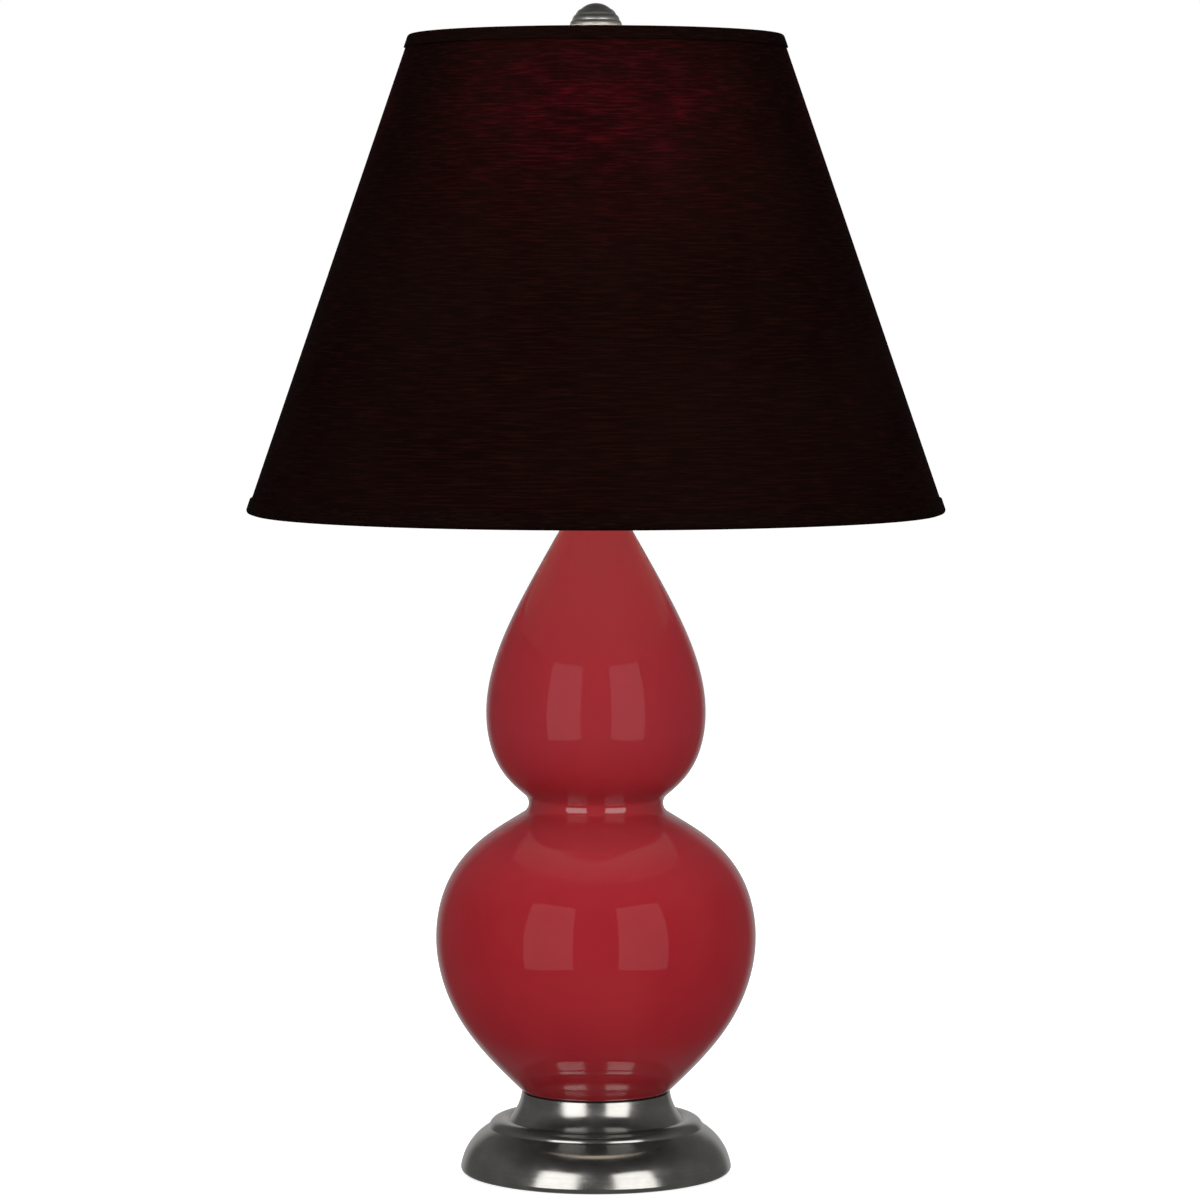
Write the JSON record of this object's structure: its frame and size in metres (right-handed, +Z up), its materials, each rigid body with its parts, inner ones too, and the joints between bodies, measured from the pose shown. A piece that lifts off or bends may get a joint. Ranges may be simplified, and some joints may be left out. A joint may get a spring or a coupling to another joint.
{
  "type": "double gourd table lamp",
  "caption": "Table lamp with a glazed ceramic double gourd body on a metal foot and a tapered fabric shade held on a wire harp by a finial.",
  "frame": {"origin": "middle of the underside, on the lamp's axis, where the felt rests on the table", "axes": "+Z up the lamp's axis, -Y to the front where the switch knob points, +Y to the cord inlet at the back, the harp lies in the XZ plane"},
  "size_m": [0.3442, 0.3442, 0.578],
  "materials": {
    "felt": "pressed wool felt",
    "satin_nickel": "spun steel, dark satin nickel plate",
    "cast_iron": "as cast, black dipped",
    "bushing_plastic": "moulded, fine matt",
    "zinc_steel": "zinc plated",
    "gasket_rubber": "die-cut sheet",
    "glazed_ceramic": "slip-cast earthenware, deep red gloss glaze",
    "harp_nickel": "nickel plated wire",
    "holder_metal": "nickel plated shell",
    "holder_card": "pressed card insulator",
    "phenolic": "moulded phenolic",
    "brass": "bare, lightly tarnished",
    "screw_shell_metal": "rolled thread, bare",
    "knob_plastic": "moulded, semi-gloss",
    "bulb_glass": "inside frosted",
    "bulb_base_metal": "rolled thread, bare",
    "bulb_insulator_glass": "black glass insulator",
    "solder": "tin-lead button",
    "shade_cloth": "slub-weave cloth, near black",
    "shade_lining": "styrene sheet, matt",
    "shade_tape": "folded trim tape of the same cloth",
    "frame_wire": "zinc plated wire, welded"
  },
  "bodies": {
    "stand": {"felt_pad": "felt", "base_shell": "satin_nickel", "base_weight": "cast_iron", "cord_bushing": "bushing_plastic", "lamp_pipe": "zinc_steel", "pipe_washer": "zinc_steel", "pipe_nut": "zinc_steel", "foot_gasket": "gasket_rubber", "gourd_body": "glazed_ceramic", "vase_cap": "satin_nickel", "neck_spacer": "satin_nickel", "harp_saddle": "harp_nickel", "harp_locknut": "zinc_steel", "harp_wire": "harp_nickel", "harp_clip": "harp_nickel", "holder_cap": "holder_metal", "holder_set_screw": "zinc_steel", "holder_shell": "holder_metal", "holder_insulator": "holder_card", "switch_block": "phenolic", "terminal_screws": "brass", "screw_shell": "screw_shell_metal", "centre_contact": "brass"},
    "sleeve_left": {"harp_sleeve_left": "harp_nickel"},
    "sleeve_right": {"harp_sleeve_right": "harp_nickel"},
    "swivel": {"harp_swivel_stud": "harp_nickel"},
    "shade": {"shade_fabric": "shade_cloth", "shade_liner": "shade_lining", "shade_top_trim": "shade_tape", "shade_bottom_trim": "shade_tape", "shade_top_ring": "frame_wire", "shade_bottom_ring": "frame_wire", "spider_hub": "frame_wire", "spider_spokes": "frame_wire"},
    "finial": {"finial": "satin_nickel"},
    "switch": {"switch_knob": "knob_plastic", "switch_shaft": "brass"},
    "bulb": {"bulb_glass": "bulb_glass", "bulb_base": "bulb_base_metal", "bulb_insulator": "bulb_insulator_glass", "bulb_tip": "solder"}
  },
  "joints": [
    {"name": "sleeve_left_slide", "type": "slide", "parent": "stand", "child": "sleeve_left", "axis": [0, 0, 1], "range_m": [0, 0.012]},
    {"name": "sleeve_right_slide", "type": "slide", "parent": "stand", "child": "sleeve_right", "axis": [0, 0, 1], "range_m": [0, 0.012]},
    {"name": "harp_swivel", "type": "hinge", "parent": "stand", "child": "swivel", "pos_m": [0, 0, 0.5463], "axis": [0, 0, 1], "continuous": true},
    {"name": "shade_lift", "type": "slide", "parent": "swivel", "child": "shade", "axis": [0, 0, 1], "range_m": [0, 0.24]},
    {"name": "finial_turn", "type": "hinge", "parent": "shade", "child": "finial", "pos_m": [0, 0, 0.5508], "axis": [0, 0, 1], "continuous": true},
    {"name": "switch_turn", "type": "hinge", "parent": "stand", "child": "switch", "pos_m": [0, -0.025, 0.375], "axis": [0, -1, 0], "continuous": true},
    {"name": "bulb_turn", "type": "hinge", "parent": "stand", "child": "bulb", "pos_m": [0, 0, 0.3835], "axis": [0, 0, 1], "continuous": true}
  ]
}
